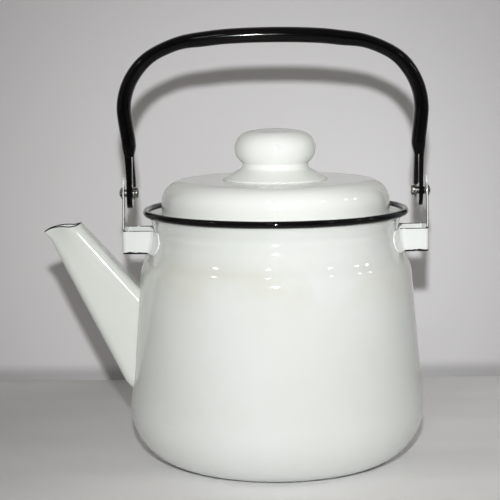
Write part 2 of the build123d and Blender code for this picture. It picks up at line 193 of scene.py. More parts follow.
# Light
# One lamp a hand's length above the camera, and five weak ones high in the room, in front and to the sides.
# The room itself is pale overhead and to both sides, and dim elsewhere, which shows in the glossy enamel.
kettle_middle = (0, 0, 0.17)
key_place, key_target = (-0.02, -1.20, 0.44), (0.055, 0, 0.195)
room_distance, room_lamp_size = 1.9, 0.12
room_lamps = ((-63, 38, 0.8), (-9, 45, 0.7), (55, 40, 0.6), (83, 33, 0.5), (94, 29, 0.4))
room_tint = (1.0, 0.94, 0.82, 1)


def lamp(name, place, target, size, power, beam=180):
    """A round lamp at a place, turned to face a target. size is its diameter in metres, and beam the full
    angle in degrees at which its light has faded out."""
    data = bpy.data.lights.new(name, "AREA")
    data.shape = "DISK"
    data.size = size
    data.energy = power
    data.spread = radians(beam)
    made = bpy.data.objects.new(name, data)
    away = np.array(place) - np.array(target)
    made.location = place
    made.rotation_euler = (acos(away[2] / np.linalg.norm(away)), 0, atan2(away[1], away[0]) + pi / 2)
    bpy.context.scene.collection.objects.link(made)


def arithmetic(tree, operation, *values, **settings):
    """The result of an operation on one or two values."""
    sockets = dict(enumerate(values))
    return add_node(tree, "ShaderNodeMath", sockets, operation=operation, **settings).outputs[0]


lamp("key", key_place, key_target, 0.03, 1.40, 63)
for azimuth, elevation, power in room_lamps:
    level, lift = room_distance * cos(radians(elevation)), room_distance * sin(radians(elevation))
    place = (level * sin(radians(azimuth)), -level * cos(radians(azimuth)), kettle_middle[2] + lift)
    lamp("room_lamp_%d" % azimuth, place, kettle_middle, room_lamp_size, power)

world = bpy.data.worlds.new("room")
world.use_nodes = True
tree = world.node_tree
sky = add_node(tree, "ShaderNodeTexCoord", {}).outputs["Generated"]
overhead = ramp(tree, axis_of(tree, sky, "Z"), 0.0, 0.9, 0.045, 0.22)
off_middle = arithmetic(tree, "ABSOLUTE", axis_of(tree, sky, "X"))
beside = ramp(tree, off_middle, 0.60, 0.95, 0.0, 0.26)
feed(tree, tree.nodes["Background"], {
    "Color": room_tint, "Strength": arithmetic(tree, "ADD", overhead, beside)})
bpy.context.scene.world = world


# Pot: body shell and base pan
# Two pressings of 1.2 mm steel, seam-welded just above the widest part and enamelled white over the seam.
# The shell narrows to a waist under the mouth and has a field of strainer holes behind the spout.
pot_sheet = 0.0012
seam_height = 0.050
belly_radius, base_corner = 0.100, 0.039
waist_radius, waist_height = 0.0826, 0.158
shoulder_overhang, shoulder_round = 0.00661, 0.020
neck_hollow = 0.033
flare_hollow, flare_rise = 0.020, 0.013
pole_radius = 0.0005                  # the smallest ring of a round piece, which is closed on its middle
neck_ring = 0.00024                   # how high the spun ring in the neck stands
ring_height, ring_pitch = 0.1555, 0.0085
bell_height, bell_spread = 0.1590, 0.0060
strainer_hole, strainer_pitch = 0.003, 0.0086
strainer_wide, strainer_tall = 0.0121, 0.03327    # half sizes of the oval field of holes
bore_ends = np.array([-0.105, -0.085])
spout_root_height = 0.0906
glass_ior, glass_relief = 1.52, 0.00012
white_clear, white_cloudy, scorch = (0.78, 0.81, 0.79, 1), (0.745, 0.78, 0.75, 1), (0.70, 0.67, 0.56, 1)

rim_height = waist_height + flare_rise
corner_centre = np.array([belly_radius - base_corner, base_corner])
neck_centre = np.array([waist_radius + neck_hollow, waist_height])
flare_centre = np.array([waist_radius + flare_hollow, waist_height])
wall_run, wall_climb = waist_radius + shoulder_overhang - corner_centre[0], waist_height - corner_centre[1]
wall_lean = atan2(wall_climb, wall_run) - acos(base_corner / hypot(wall_run, wall_climb))


def grid(x, y, z):
    """Points from three arrays, each repeated along the directions that it lacks."""
    return np.stack(np.broadcast_arrays(x, y, z), axis=-1)


def arc(centre, radius, start, end, steps):
    """Points round a centre at one radius, from one angle in degrees to another, as (radius, height) rows."""
    angle = np.radians(np.linspace(start, end, steps))
    return np.stack([centre[0] + radius * np.cos(angle), centre[1] + radius * np.sin(angle)], axis=1)


def run(start, end, steps):
    """Evenly spaced points on a straight line between two points."""
    share = np.linspace(0, 1, steps)[:, None]
    return np.asarray(start) * (1 - share) + np.asarray(end) * share


def outline(*stretches):
    """The stretches joined end to end, with each point that repeats the one before it left out."""
    points = np.concatenate([np.atleast_2d(stretch) for stretch in stretches])
    keep = np.r_[True, np.hypot(*np.diff(points, axis=0).T) > 1e-6]
    return points[keep]


def smooth(mesh, angle=35):
    """Shades the mesh smooth except at corners sharper than an angle in degrees."""
    mesh.shade_smooth()
    mesh.set_sharp_from_angle(angle=radians(angle))


def mesh_piece(name, points, faces, finish):
    """An object at the origin from an array of points and a list of arrays of faces, turned outwards by the
    sign of the volume that they enclose, which is a sixth of the sum of a . (b x c) over their triangles."""
    fans = np.concatenate([face[:, [0, i, i + 1]] for face in faces for i in range(1, face.shape[1] - 1)])
    a, b, c = points[fans].transpose(1, 0, 2)
    turn = -1 if np.einsum("ij,ij->", a, np.cross(b, c)) < 0 else 1
    mesh = bpy.data.meshes.new(name)
    mesh.from_pydata(points.tolist(), [], sum((face[:, ::turn].tolist() for face in faces), []))
    smooth(mesh)
    mesh.materials.append(finish)
    piece = bpy.data.objects.new(name, mesh)
    bpy.context.scene.collection.objects.link(piece)
    return piece


def skin(name, rings, finish, joined=False):
    """A closed surface through rings of points. Each ring closes on itself. The last ring is joined to the
    first, or both ends are closed on the middles of their rings."""
    count, size = rings.shape[:2]
    ids = np.arange(count * size).reshape(count, size)
    beside = np.roll(ids, -1, axis=1)
    low, high = (slice(None), np.r_[1:count, 0]) if joined else (slice(0, -1), slice(1, None))
    faces = [np.stack([ids[low], beside[low], beside[high], ids[high]], axis=-1).reshape(-1, 4)]
    points = rings.reshape(-1, 3)
    if not joined:
        points = np.vstack([points, rings[0].mean(axis=0), rings[-1].mean(axis=0)])
        start_pole, end_pole = np.full(size, count * size), np.full(size, count * size + 1)
        faces.append(np.stack([beside[0], ids[0], start_pole], axis=-1))
        faces.append(np.stack([ids[-1], beside[-1], end_pole], axis=-1))
    return mesh_piece(name, points, faces, finish)


def turned(profile, steps):
    """Rings of a profile turned about the upright axis: each (radius, height) row at every angle."""
    angle = np.linspace(0, 2 * pi, steps, endpoint=False)
    radius, height = profile[:, :1], profile[:, 1:]
    return grid(radius * np.cos(angle), radius * np.sin(angle), height)


def wall_radius(height, inset=0.0):
    """Radius of the leaning wall at a height, moved inwards by inset."""
    start_radius = corner_centre[0] + (base_corner - inset) * cos(wall_lean)
    start_height = corner_centre[1] + (base_corner - inset) * sin(wall_lean)
    return start_radius - (height - start_height) * tan(wall_lean)


def shoulder_middle():
    """Centre of the shoulder's arc: it touches the wall from inside and the neck's hollow from outside."""
    normal = np.array([cos(wall_lean), sin(wall_lean)])
    upward = np.array([-sin(wall_lean), cos(wall_lean)])
    start = corner_centre + (base_corner - shoulder_round) * normal
    away = start - neck_centre
    along = away @ upward
    climb = -along - sqrt(along**2 - away @ away + (neck_hollow + shoulder_round)**2)
    return start + climb * upward


def pan_line(inset):
    """The base pan's line from the middle of the base to the seam, moved inwards by inset."""
    floor_line = run((pole_radius, inset), (corner_centre[0], inset), 10)
    corner = arc(corner_centre, base_corner - inset, -90, degrees(wall_lean), 40)
    seam = (wall_radius(seam_height, inset), seam_height)
    return outline(floor_line, corner, run(corner[-1], seam, 4))


def shell_line(inset):
    """The body shell's line from the seam to the mouth's edge, moved inwards by inset. Spinning has left a
    shallow ring in the neck: a cosine of the height, under a bell curve."""
    centre = shoulder_middle()
    turn = degrees(np.arcsin((neck_centre[1] - centre[1]) / (neck_hollow + shoulder_round)))
    flare_turn = degrees(np.arcsin(flare_rise / (flare_hollow + pot_sheet / 2)))
    shoulder = arc(centre, shoulder_round - inset, degrees(wall_lean), turn, 14)
    wall = run((wall_radius(seam_height, inset), seam_height), shoulder[0], 26)
    neck = arc(neck_centre, neck_hollow + inset, 180 + turn, 180, 34)
    flare = arc(flare_centre, flare_hollow + inset, 180, 180 - flare_turn, 26)
    line = outline(wall, shoulder, neck, flare)
    bell = np.exp(-((line[:, 1] - bell_height) / bell_spread)**2)
    line[:, 0] += neck_ring * np.cos(2 * pi * (line[:, 1] - ring_height) / ring_pitch) * bell
    return line


def pressing(name, line, sheet, steps, finish, joined=True):
    """A turned sheet: its outer line, and back along the same line moved inwards by its thickness."""
    return skin(name, turned(outline(line(0), line(sheet)[::-1]), steps), finish, joined)


def shared_group(name, inputs, outputs):
    """An empty shader node group with named sockets, each given as (name, kind, value)."""
    tree = bpy.data.node_groups.new(name, "ShaderNodeTree")
    for label, kind, value in inputs:
        socket = tree.interface.new_socket(name=label, in_out="INPUT", socket_type="NodeSocket" + kind)
        if value is not None:
            socket.default_value = value
    for label, kind in outputs:
        tree.interface.new_socket(name=label, in_out="OUTPUT", socket_type="NodeSocket" + kind)
    return tree, tree.nodes.new("NodeGroupInput").outputs, tree.nodes.new("NodeGroupOutput")


# Fired glass flows before it sets: it has slow waves, a fine ripple, cloudy tone and a few pinholes.
fired_glass, given, result = shared_group("fired_glass", [
    ("Place", "Vector", None), ("Clear", "Color", (0.8, 0.8, 0.8, 1)),
    ("Cloudy", "Color", (0.7, 0.7, 0.7, 1)), ("Pinhole", "Color", (0.2, 0.18, 0.15, 1)),
    ("Waves", "Float", 0.5), ("Dullness", "Float", 0.10)],
    [("Color", "Color"), ("Height", "Float"), ("Roughness", "Float")])
clouds = noise(fired_glass, given["Place"], 13.0, 4.0)
waves = noise(fired_glass, given["Place"], 34.0, 1.0)
ripple = noise(fired_glass, given["Place"], 420.0, 1.0)
cells = add_node(fired_glass, "ShaderNodeTexVoronoi", {"Vector": given["Place"], "Scale": 42.0})
cell_draw = add_node(fired_glass, "ShaderNodeSeparateColor", {0: cells.outputs["Color"]}).outputs[0]
chosen = arithmetic(fired_glass, "GREATER_THAN", cell_draw, 0.90)
hole = ramp(fired_glass, cells.outputs["Distance"], 0.012, 0.022, 1.0, 0.0, "LINEAR")
pinhole = arithmetic(fired_glass, "MULTIPLY", hole, chosen)
clouded = mixed(fired_glass, ramp(fired_glass, clouds, 0.35, 0.70), given["Clear"], given["Cloudy"])
relief = arithmetic(
    fired_glass, "ADD", arithmetic(fired_glass, "MULTIPLY", waves, given["Waves"]),
    arithmetic(fired_glass, "MULTIPLY", ripple, 0.06))
feed(fired_glass, result, {
    "Color": mixed(fired_glass, pinhole, clouded, given["Pinhole"]),
    "Height": arithmetic(fired_glass, "SUBTRACT", relief, pinhole),
    "Roughness": arithmetic(fired_glass, "MULTIPLY", clouds, given["Dullness"])})


def enamel(name, specular, **coat):
    """A finish with the fired glass's colour, roughness and relief on its shader. Gives back the finish, its
    tree, its shader, the place on the piece and the glass's colour."""
    made, tree, principled = new_finish(name, IOR=glass_ior, Specular_IOR_Level=specular)
    place = object_place(tree)
    glass = add_node(tree, "ShaderNodeGroup", {"Place": place, **coat}, node_tree=fired_glass).outputs
    feed(tree, principled, {
        "Base Color": glass["Color"], "Roughness": glass["Roughness"],
        "Normal": bumped(tree, glass["Height"], glass_relief)})
    return made, tree, principled, place, glass["Color"]


def attribute(tree, name):
    """A number that a piece carries for each of its points."""
    return add_node(tree, "ShaderNodeAttribute", {}, attribute_name=name).outputs["Fac"]


# Years of use have stained the pot in patches, in a band round its shoulder.
pot_enamel, tree, principled, place, white = enamel(
    "pot_white_enamel", 0.5, Clear=white_clear, Cloudy=white_cloudy, Waves=0.6, Dullness=0.12)
height = axis_of(tree, place, "Z")
band = arithmetic(
    tree, "MULTIPLY", ramp(tree, height, 0.110, 0.134), ramp(tree, height, 0.136, 0.150, 1.0, 0.0))
patches = ramp(tree, noise(tree, place, 26.0, 3.0), 0.38, 0.75, 0.0, 0.55, "LINEAR")
stain = arithmetic(tree, "MULTIPLY", band, patches)
feed(tree, principled, {"Base Color": mixed(tree, stain, white, scorch)})

base_pan = pressing("base_pan_pressing", pan_line, pot_sheet, 192, pot_enamel, joined=False)
body_shell = pressing("body_shell_pressing", shell_line, pot_sheet, 192, pot_enamel)

# The strainer's holes are in rows, each shifted by half a pitch, wherever their middles fall in the oval.
rows, columns = np.meshgrid(np.arange(-5, 6), np.arange(-3, 4), indexing="ij")
hole_y = (columns + (rows % 2) / 2) * strainer_pitch
hole_z = rows * strainer_pitch * cos(radians(30))
inside = (hole_y / strainer_wide)**2 + (hole_z / strainer_tall)**2 <= 1.05
hole_angle = np.linspace(0, 2 * pi, 24, endpoint=False)
bores = grid(
    bore_ends[:, None],
    hole_y[inside][:, None, None] + strainer_hole * np.cos(hole_angle),
    spout_root_height + hole_z[inside][:, None, None] + strainer_hole * np.sin(hole_angle))
ids = np.arange(bores[..., 0].size).reshape(bores.shape[:3])
beside = np.roll(ids, -1, axis=2)
sides = np.stack([ids[:, 0], beside[:, 0], beside[:, 1], ids[:, 1]], axis=-1).reshape(-1, 4)
strainer = mesh_piece("strainer_bores", bores.reshape(-1, 3), [sides, ids[:, 0, ::-1], ids[:, 1]], pot_enamel)


def cut_away(piece, cutter):
    """Takes the cutter's space out of the piece, and removes the cutter."""
    cut = piece.modifiers.new("cut", "BOOLEAN")
    cut.operation, cut.object, cut.solver = "DIFFERENCE", cutter, "EXACT"
    seen = piece.evaluated_get(bpy.context.evaluated_depsgraph_get())
    piece.data = bpy.data.meshes.new_from_object(seen)
    piece.modifiers.clear()
    smooth(piece.data)
    bpy.data.objects.remove(cutter)


cut_away(body_shell, strainer)
for piece, node in ((base_pan, "base_pan"), (body_shell, "body_shell")):
    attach(piece, "pot")
    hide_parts(node)


# Rim bead
# The raw edge of the mouth is rolled outwards into a steel ring. The ring is dipped in black enamel, which
# sets a little thicker and thinner round it.
bead_round = 0.0023
bead_radius = 0.08740
swells = ((9, 0.020, 1.0), (23, 0.012, 0.0))      # times round the ring, share of the thickness, and start
black_clear, black_cloudy = (0.0012, 0.0012, 0.0018, 1), (0.003, 0.003, 0.0036, 1)
dull_pinhole = (0.05, 0.04, 0.035, 1)
rim_enamel = enamel("rim_black_enamel", 0.25, Clear=black_clear, Cloudy=black_cloudy,
                    Pinhole=dull_pinhole, Waves=0.8, Dullness=0.10)[0]
angle = np.linspace(0, 2 * pi, 224, endpoint=False)[:, None]
round_angle = np.linspace(0, 2 * pi, 28, endpoint=False)
thickness = bead_round * (1 + sum(share * np.sin(times * angle + start) for times, share, start in swells))
reach = bead_radius + thickness * np.cos(round_angle)
rings = grid(reach * np.cos(angle), reach * np.sin(angle), rim_height + thickness * np.sin(round_angle))
rim = skin("rim_rolled_bead", rings, rim_enamel, joined=True)
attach(rim, "pot")
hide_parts("rim_bead")


# Spout
# A tapering pipe with flat sides and round corners, welded over the strainer holes and enamelled across the
# weld. Its mouth is cut in a wave, the lip is drawn out, and the black ground coat shows along the edge.
spout_rise = radians(55.3)
spout_length = 0.0835
spout_sheet = 0.0012
root_tall, root_wide, root_round = 0.0438, 0.0346, 0.0060
mouth_tall, mouth_wide, mouth_round = 0.0227, 0.0190, 0.0058
flat_crown = 18                       # the flats stand out by one part in this many of their half width
weld = 0.0012                         # how far the weld reaches on either side of the joint
mouth_ease = 0.0004                   # the cut edge is rounded over this length
edge_crown = 0.00035                  # and its middle stands out by this much
edge_shares = np.array([0.12, 0.35, 0.65, 0.88])  # rings on the cut edge, as shares of the sheet
root_span, mouth_span = (-0.044, 0.050), (0.050, 0.105)   # where along the spout its ends are looked for
beak_share, heel_share = 0.62, 0.60   # how much of the width is pinched away at the mouth's front and heel
tuck_in, tuck_reach = 0.0036, 0.011
lip_drawn, heel_drawn = 0.0021, 0.0008
lip_way = np.array([-0.92, 0, -0.40])
spout_clear, spout_cloudy = (0.75, 0.785, 0.745, 1), (0.72, 0.755, 0.715, 1)
ground_coat = (0.003, 0.003, 0.004, 1)

spout_along = np.array([-cos(spout_rise), 0, sin(spout_rise)])
spout_across = np.array([sin(spout_rise), 0, cos(spout_rise)])
spout_root = np.array([-wall_radius(spout_root_height), 0, spout_root_height])
mouth_middle = spout_root + spout_length * spout_along
mouth_half = mouth_tall / 2 / sin(spout_rise)
pot_line = outline(pan_line(0), shell_line(0))

# The mouth's wave: heights over its middle at places from its lip, -1, to its heel, 1.
wave_x = np.array([-1.0, -0.77, -0.53, -0.29, -0.04, 0.2, 0.46, 0.6, 0.70, 0.80, 1.0])
wave_z = np.array([-2.4, 0.8, 2.0, 2.75, 3.0, 2.9, 3.05, 3.35, 3.9, 5.0, 7.5]) / 1000
wave = np.polyfit(wave_x, wave_z, 6)


def pot_radius(height):
    """The pot's outer radius at a height, read off its line."""
    return np.interp(height, pot_line[:, 1], pot_line[:, 0])


def round_cornered(tall, wide, corner):
    """A rectangle with round corners as (across, sideways) rows, whose flats are crowned: the sideways part
    shrinks by the square of the part across over flat_crown. Every size has the same count of points."""
    a, b = tall / 2 - corner, wide / 2 - corner
    turns = [arc(centre, corner, start, start + 90, 13)
             for centre, start in (((a, b), 0), ((-a, b), 90), ((-a, -b), 180), ((a, -b), 270))]
    sides = [run(turns[i][-1], turns[(i + 1) % 4][0], 11)[1:-1] for i in range(4)]
    flat = np.concatenate([part for pair in zip(turns, sides) for part in pair])
    flat[:, 1] *= 1 - (2 * flat[:, 0] / tall)**2 / flat_crown
    return flat


def spout_point(section, distance):
    """Points of the straight lines that join the root's section to the mouth's, each at its own distance
    along the spout. section is 0 for the outside and the sheet's thickness for the bore."""
    start = round_cornered(root_tall - 2 * section, root_wide - 2 * section, root_round - section)
    end = round_cornered(mouth_tall - 2 * section, mouth_wide - 2 * section, mouth_round - section)
    flat = start + (end - start) * (distance / spout_length)[:, None]
    return (spout_root + distance[:, None] * spout_along + flat[:, :1] * spout_across
            + flat[:, 1:] * np.array([0, 1, 0]))


def crossing(section, height_over, low, high):
    """Distance along each line at which height_over changes sign, found by halving the stretch 40 times."""
    count = len(round_cornered(root_tall, root_wide, root_round))
    low, high = np.full(count, low), np.full(count, high)
    for _ in range(40):
        middle = (low + high) / 2
        past = height_over(spout_point(section, middle)) > 0
        low, high = np.where(past, low, middle), np.where(past, middle, high)
    return (low + high) / 2


def outside_pot(points):
    """How far points stand outside the pot."""
    return np.hypot(points[:, 0], points[:, 1]) - pot_radius(points[:, 2])


def over_mouth(points):
    """How far points stand above the mouth's wave, a curve of the sixth degree."""
    across = np.clip((points[:, 0] - mouth_middle[0]) / mouth_half, -1.05, 1.05)
    return points[:, 2] - mouth_middle[2] - np.polyval(wave, across)


def unit(vectors):
    """The vectors at length one."""
    return vectors / np.linalg.norm(vectors, axis=-1, keepdims=True)


def onto_pot(points, sink=0.00008):
    """The points moved level onto the pot's surface, and a hair into it."""
    radius = pot_radius(points[:, 2]) - sink
    level = np.hypot(points[:, 0], points[:, 1])
    return points * np.stack([radius / level, radius / level, np.ones(len(points))], axis=1)


def climb(value, start, end):
    """0 below the start, 1 above the end, and a straight line between."""
    return np.clip((value - start) / (end - start), 0, 1)


def rise(value, start, end):
    """0 below the start, 1 above the end, and a smooth step between."""
    share = climb(value, start, end)
    return share * share * (3 - 2 * share)


def beyond(value, start):
    """0 below the start, and a straight line above it that passes 1 where the value does."""
    return np.clip(value - start, 0, 1) / (1 - start)


def mark_points(piece, name, values):
    """Writes one number for each point to a named attribute of the piece."""
    layer = piece.data.attributes.new(name, "FLOAT", "POINT")
    layer.data.foreach_set("value", np.ascontiguousarray(values, dtype=np.float32).ravel())


# The pipe's skin is one run of rings: up the weld, along the outside, over the cut edge and down the bore.
outer_foot = crossing(0.0, outside_pot, *root_span)
inner_foot = crossing(spout_sheet, outside_pot, *root_span)
outer_mouth = crossing(0.0, over_mouth, *mouth_span)
inner_mouth = crossing(spout_sheet, over_mouth, *mouth_span)
foot = spout_point(0.0, outer_foot)
around = unit(np.roll(foot, -1, axis=0) - np.roll(foot, 1, axis=0))
wall_normal = unit(foot * np.array([1, 1, 0]) + np.array([0, 0, 0.008]))
outward = np.cross(wall_normal, around)
outward *= np.sign(np.einsum("ij,ij->i", outward, foot - foot.mean(axis=0)))[:, None]
weld_foot = onto_pot(foot + weld * outward)
weld_head = spout_point(0.0, outer_foot + weld)
fillet = [weld_foot * (1 - t)**2 + foot * 2 * t * (1 - t) + weld_head * t**2 for t in np.linspace(0, 1, 9)]
outside = [spout_point(0.0, (outer_foot + weld) * (1 - t) + (outer_mouth - mouth_ease) * t)
           for t in np.r_[np.linspace(0.03, 0.85, 22), np.linspace(0.87, 1.0, 14)]]
edge_out, edge_in = spout_point(0.0, outer_mouth), spout_point(spout_sheet, inner_mouth)
edge = [edge_out * (1 - t) + edge_in * t + spout_along * edge_crown * sin(pi * t) for t in edge_shares]
bore = [spout_point(spout_sheet, (inner_mouth - mouth_ease) * (1 - t) + inner_foot * t)
        for t in np.linspace(0, 1, 24)]
bore[-1] = onto_pot(bore[-1])
rings = np.stack(fillet + outside + edge + bore)
first_cut = len(fillet) + len(outside)
last_cut = first_cut + len(edge) - 1

# The two sides are pinched together at the front of the mouth into a beak, and a little at its heel. The bore
# moves as far as the outside does, so that the sheet keeps its thickness.
along = (rings - mouth_middle) @ spout_along
across = (rings - mouth_middle) @ spout_across
pinch = (beak_share * rise(-across, -0.0065, 0.0085) * climb(along, -0.030, 0.004)**1.6
         + heel_share * rise(across, 0.0045, 0.0085) * climb(along, -0.006, 0.002)**2)
through_sheet = np.r_[np.zeros(first_cut), edge_shares, np.ones(len(bore))]
bore_reach = mouth_wide / (mouth_wide - 2 * spout_sheet)
rings[..., 1] *= 1 - pinch * (1 + (bore_reach - 1) * through_sheet)[:, None]

# The underside turns in towards the wall over its last few millimetres, as the pipe's end was dressed.
under = beyond(-((rings - spout_root) @ spout_across) / (root_tall / 2), 0.35)
near_wall = 1 - climb(np.linalg.norm(rings - foot, axis=-1), 0, tuck_reach)
rings = rings + (tuck_in * np.minimum(under, 1)**1.5 * near_wall**2)[..., None] * spout_across
rings[0], rings[-1] = onto_pot(rings[0]), onto_pot(rings[-1])

# The lip is drawn out over the last few millimetres, most at its front, and the heel a little.
lip_pull = lip_drawn * climb(along, -0.0010, 0.0055)**2 * beyond(-across / (mouth_tall / 2), 0.45)**1.5
heel_pull = heel_drawn * climb(along, -0.008, 0.001)**2 * beyond(across / (mouth_tall / 2), 0.45)
rings = rings + lip_pull[..., None] * lip_way + heel_pull[..., None] * spout_across

# The white coat draws back from the mouth's cut edge in a ragged line and leaves the black ground coat. The
# edge_gap attribute is the distance from that edge.
spout_enamel, tree, principled, place, white = enamel(
    "spout_white_enamel", 0.45, Clear=spout_clear, Cloudy=spout_cloudy, Waves=0.8, Dullness=0.18)
black_reach = ramp(tree, noise(tree, place, 330.0, 2.0), 0.3, 0.7, 0.00040, 0.00080, "LINEAR")
past_black = arithmetic(tree, "DIVIDE", attribute(tree, "edge_gap"), black_reach)
white_share = ramp(tree, past_black, 0.85, 1.15, kind="LINEAR")
feed(tree, principled, {"Base Color": mixed(tree, white_share, ground_coat, white)})

spout = skin("spout_pipe", rings, spout_enamel, joined=True)
from_outer_edge = np.linalg.norm(rings - rings[first_cut], axis=-1)
from_inner_edge = np.linalg.norm(rings - rings[last_cut], axis=-1)
from_edge = np.minimum(from_outer_edge, from_inner_edge)
from_edge[first_cut:last_cut + 1] = 0.0
mark_points(spout, "edge_gap", from_edge)
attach(spout, "pot")
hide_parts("spout")


# Brackets
# Each is one strip of 1.5 mm steel: a foot that follows the neck, a flange, an upright plate that rises
# into an ear, the second flange and the second foot. It is welded on by its feet and enamelled white.
strip = 0.0015
bracket_half_width = 0.0155
ear_outer = 0.1022
channel_low, channel_high = 0.1440, 0.1597
pivot_height = 0.1837
ear_round, ear_half_width = 0.0114, 0.0146
foot_bend, plate_bend = 0.0035, 0.00165           # radii of the strip's middle surface in its bends
foot_radius = 0.0841                  # from the kettle's axis to the strip's feet
foot_reach = radians(10.6)            # how far each foot runs round the neck, past the flange
foot_thinning = 0.0007
foot_columns = 18                     # the count of the strip's columns that are on a foot
ear_thick_painted_light_reach = 0.0060                    # how far above the pivot the ear's coat is thick, and its white painted paler as painted light
black_edge_high, black_edge_low = 0.0017, 0.0007
arris = 0.00043                       # width of the rounding at the strip's edges
ear_stand_off = 0.0006                # the spout side's ear is bent out by this much
# The second white is painted light: the paler white on the feet and round the ears' tops.
bracket_clear, painted_light_white = (0.80, 0.83, 0.81, 1), (0.93, 0.95, 0.94, 1)

mid = strip / 2
half_high = (channel_high - channel_low) / 2
middle_high = (channel_high + channel_low) / 2
share_up = np.linspace(-1, 1, 13)
flange_y, plate_x = bracket_half_width - mid, ear_outer - mid
foot_end = np.arcsin(bracket_half_width / foot_radius) + foot_reach


def neck_radius(height):
    """Radius of the neck's arc at a height, without the spun ring."""
    return neck_centre[0] - np.sqrt(neck_hollow**2 - (height - neck_centre[1])**2)


def foot_and_flange():
    """The strip's middle surface from the foot's round end to the plate, on the side of positive Y, as
    columns of points from the lower edge to the upper one. The foot follows the neck by its turn about the
    kettle's axis, the bend is an arc that touches it, and the flange is straight up to the corner's arc."""
    level = middle_high + half_high * share_up
    bend_x = np.sqrt((neck_radius(level) + mid + foot_bend)**2 - (flange_y + foot_bend)**2)
    touch = np.arctan2(flange_y + foot_bend, bend_x)
    corner_x = plate_x - plate_bend

    u = np.linspace(-1, 0, 8)[:, None]
    end_turn = foot_end - half_high * (1 + u * np.sqrt(1 - share_up**2 / 2)) / foot_radius
    end_level = middle_high + half_high * share_up * np.sqrt(1 - u**2 / 2)
    t = np.linspace(0, 1, 7)[1:, None]
    turn = np.vstack([end_turn, end_turn[-1] * (1 - t) + touch * t])
    height = np.vstack([end_level, np.tile(level, (len(t), 1))])
    out = neck_radius(height) + mid - foot_thinning * climb(turn, touch, foot_end)**2
    foot = grid(out * np.cos(turn), out * np.sin(turn), height)

    s = np.linspace(0, 1, 12)[1:, None]
    angle = (touch + pi) * (1 - s) + 1.5 * pi * s
    bend = grid(bend_x + foot_bend * np.cos(angle), flange_y + foot_bend * (1 + np.sin(angle)), level)
    flange = grid(bend_x * (1 - t) + corner_x * t, flange_y, level)
    angle = np.linspace(pi / 2, 0, 5)[1:, None]
    corner = grid(corner_x + plate_bend * np.cos(angle), flange_y - plate_bend * (1 - np.sin(angle)), level)
    return np.concatenate([foot, bend, flange, corner])


def quads(ids):
    """A four-cornered face for each square of a grid of point numbers."""
    return np.stack([ids[:-1, :-1], ids[1:, :-1], ids[1:, 1:], ids[:-1, 1:]], axis=-1).reshape(-1, 4)


half_strip = foot_and_flange()
plate_half = flange_y - plate_bend
plate_y = np.linspace(plate_half, -plate_half, 15)[1:-1, None]
plate = grid(plate_x, plate_y, middle_high + half_high * share_up)
strip_columns = np.concatenate([half_strip, plate, half_strip[::-1] * np.array([1, -1, 1])])

# The ear widens from the plate over its first tenth, and from a third of the way up its rows bend into the
# round top.
across_ear = np.linspace(1, -1, len(plate) + 2)
t = np.linspace(0, 1, 15)[1:, None]
drawn_in = climb(t, 0.34, 1.0)
widening = plate_half + (ear_half_width - plate_half) * np.minimum(1, t / 0.10)
side_y = widening * (1 - drawn_in) + ear_round * drawn_in
ear_y = side_y * across_ear * (1 - drawn_in) + ear_round * np.sin(across_ear * pi / 2) * drawn_in
ear_y = np.where(np.abs(across_ear) == 1, across_ear * side_y, ear_y)
ear_top = pivot_height + ear_round * np.cos(across_ear * pi / 2)
ear = grid(plate_x, ear_y, channel_high * (1 - t) + ear_top * t)

count, high = strip_columns.shape[:2]
ids = np.arange(count * high).reshape(count, high)
plate_top = ids[len(half_strip) - 1:len(half_strip) + len(plate) + 1, -1]
ear_ids = np.vstack([plate_top, np.arange(ear[..., 0].size).reshape(ear.shape[:2]) + count * high])
strip_faces = np.concatenate([quads(ids), quads(ear_ids)[:, [0, 3, 2, 1]]])
strip_points = np.concatenate([strip_columns.reshape(-1, 3), ear.reshape(-1, 3)])
from_end = np.minimum(np.arange(count), np.arange(count)[::-1])
on_foot = np.r_[np.repeat(from_end < foot_columns, high), np.zeros(ear[..., 0].size, bool)]
thick_coat_painted_light = on_foot | (strip_points[:, 2] > pivot_height + ear_thick_painted_light_reach)

# The lower edge is left black in a ragged line, except on the welded feet. On them and round the ear's top
# a point attribute is 1: the white coat is thick there, and its white is painted paler, as painted light
# where the feet and the ear's top turn away from the lamp.
bracket_coat = {"Clear": bracket_clear, "Cloudy": white_cloudy, "Waves": 0.5, "Dullness": 0.18}
bracket_enamel, tree, principled, place, white = enamel("bracket_white_enamel", 0.5, **bracket_coat)
black_top = ramp(
    tree, noise(tree, place, 150.0, 3.0), 0.35, 0.65,
    channel_low + black_edge_high, channel_low + black_edge_low, "LINEAR")
below = arithmetic(tree, "LESS_THAN", axis_of(tree, place, "Z"), black_top)
thick_coat_light_share = attribute(tree, "thick_coat_painted_light")
bared = arithmetic(tree, "SUBTRACT", below, thick_coat_light_share, use_clamp=True)
feed(tree, principled, {"Base Color": mixed(tree, bared, mixed(tree, thick_coat_light_share, white, painted_light_white), ground_coat)})

# White enamel also draws back from the sheet's sharp edges and bares the black there, in most places off the
# thick-coated feet and the ear's top.
bare_arris, tree, principled, place, white = enamel("bracket_bare_arris", 0.5, **bracket_coat)
kept_white = ramp(tree, noise(tree, place, 240.0, 2.0), 0.64, 0.70, kind="LINEAR")
white_share = arithmetic(tree, "MAXIMUM", kept_white, attribute(tree, "thick_coat_painted_light"))
feed(tree, principled, {"Base Color": mixed(tree, white_share, ground_coat, white)})

